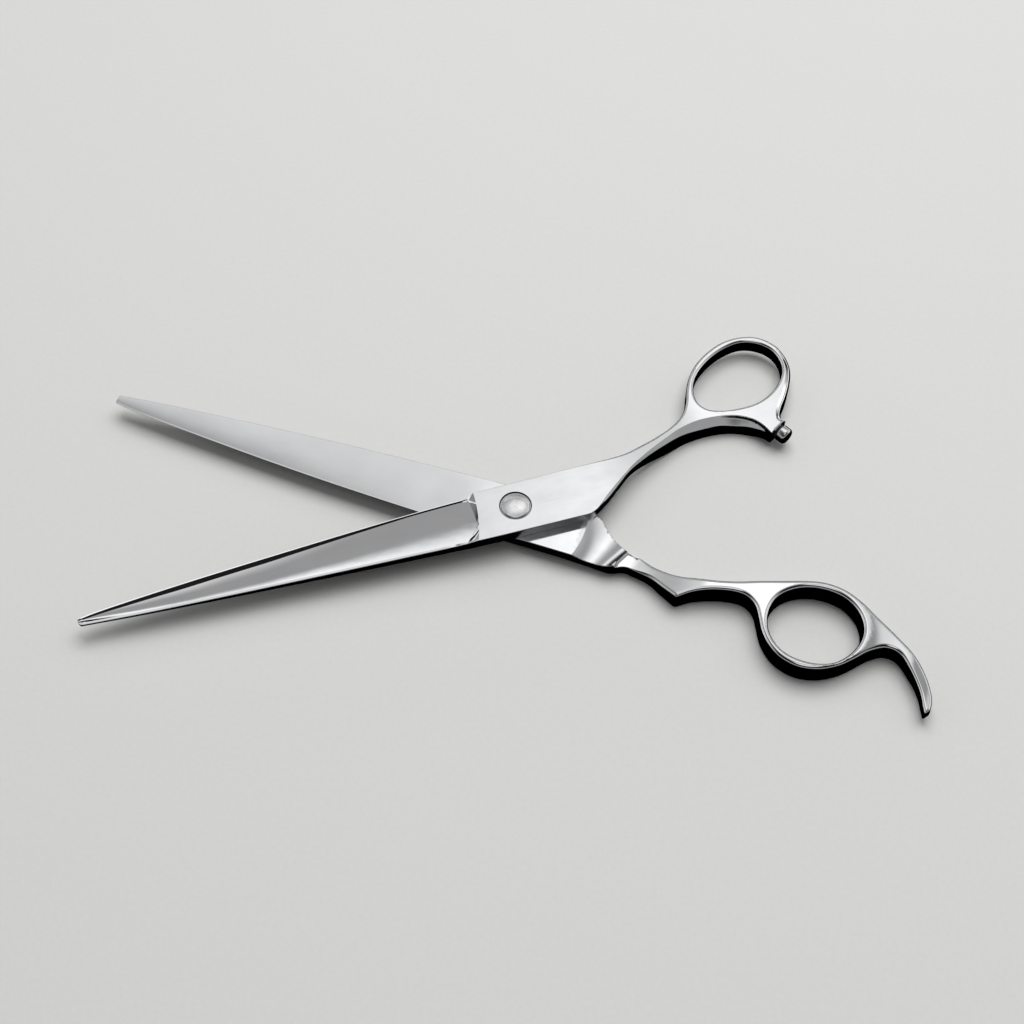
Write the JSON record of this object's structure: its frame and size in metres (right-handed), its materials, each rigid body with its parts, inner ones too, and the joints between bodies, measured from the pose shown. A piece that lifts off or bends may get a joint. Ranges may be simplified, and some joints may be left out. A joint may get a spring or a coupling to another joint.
{
  "type": "hair cutting shears",
  "caption": "Long slim hair cutting shears, open, with a ball bearing pivot, back tension dial, offset thumb ring with a bumper stop, and a hooked finger rest.",
  "frame": {"origin": "on the pivot axis, in the plane the shears lie on, at the middle of the tension dial's flat end", "axes": "+Z along the pivot axis out of the screw head; -X to the blade tips and +X to the rings, along the line that halves the opening; +Y to the thumb ring's side"},
  "size_m": [0.1934, 0.1041, 0.0086],
  "materials": {
    "finger_blade_steel": "satin and polished stainless steel",
    "thumb_blade_steel": "satin and polished stainless steel",
    "pivot_screw_steel": "mirror polished stainless steel",
    "race_steel": "ground hardened steel",
    "cage_brass": "stamped sheet brass",
    "ball_steel": "polished bearing steel",
    "bushing_bronze": "sintered bronze",
    "glide_nylon": "natural nylon",
    "click_plate_steel": "coined steel",
    "spring_steel": "tempered spring steel",
    "dial_steel": "turned and knurled stainless steel",
    "bumper_stud_steel": "turned steel",
    "bumper_collar_rubber": "black rubber",
    "bumper_head_steel": "polished stainless steel"
  },
  "bodies": {
    "finger_half": {"finger_blade": "finger_blade_steel", "pivot_screw": "pivot_screw_steel", "race_upper": "race_steel", "glide_washer": "glide_nylon", "click_plate": "click_plate_steel", "spring_washer": "spring_steel"},
    "thumb_half": {"thumb_blade": "thumb_blade_steel", "race_lower": "race_steel", "pivot_bushing": "bushing_bronze", "bumper_stud": "bumper_stud_steel", "bumper_collar": "bumper_collar_rubber", "bumper_head": "bumper_head_steel"},
    "bearing_cage": {"ball_cage": "cage_brass", "ball_01": "ball_steel", "ball_02": "ball_steel", "ball_03": "ball_steel", "ball_04": "ball_steel", "ball_05": "ball_steel", "ball_06": "ball_steel", "ball_07": "ball_steel", "ball_08": "ball_steel", "ball_09": "ball_steel", "ball_10": "ball_steel", "ball_11": "ball_steel", "ball_12": "ball_steel"},
    "dial": {"tension_dial": "dial_steel"}
  },
  "joints": [
    {"name": "blade_hinge", "type": "hinge", "parent": "finger_half", "child": "thumb_half", "pos_m": [0, 0, 0.005], "axis": [0, 0, 1], "range_deg": [-33.5, 56]},
    {"name": "cage_orbit", "type": "hinge", "parent": "finger_half", "child": "bearing_cage", "pos_m": [0, 0, 0.007], "axis": [0, 0, 1], "range_deg": [-17, 28.1]},
    {"name": "dial_turn", "type": "hinge", "parent": "finger_half", "child": "dial", "pos_m": [0, 0, 0], "axis": [0, 0, 1], "range_deg": [-90, 90]}
  ],
  "couplings": [
    {"joint": "cage_orbit", "follows": "blade_hinge", "ratio": 0.5}
  ]
}
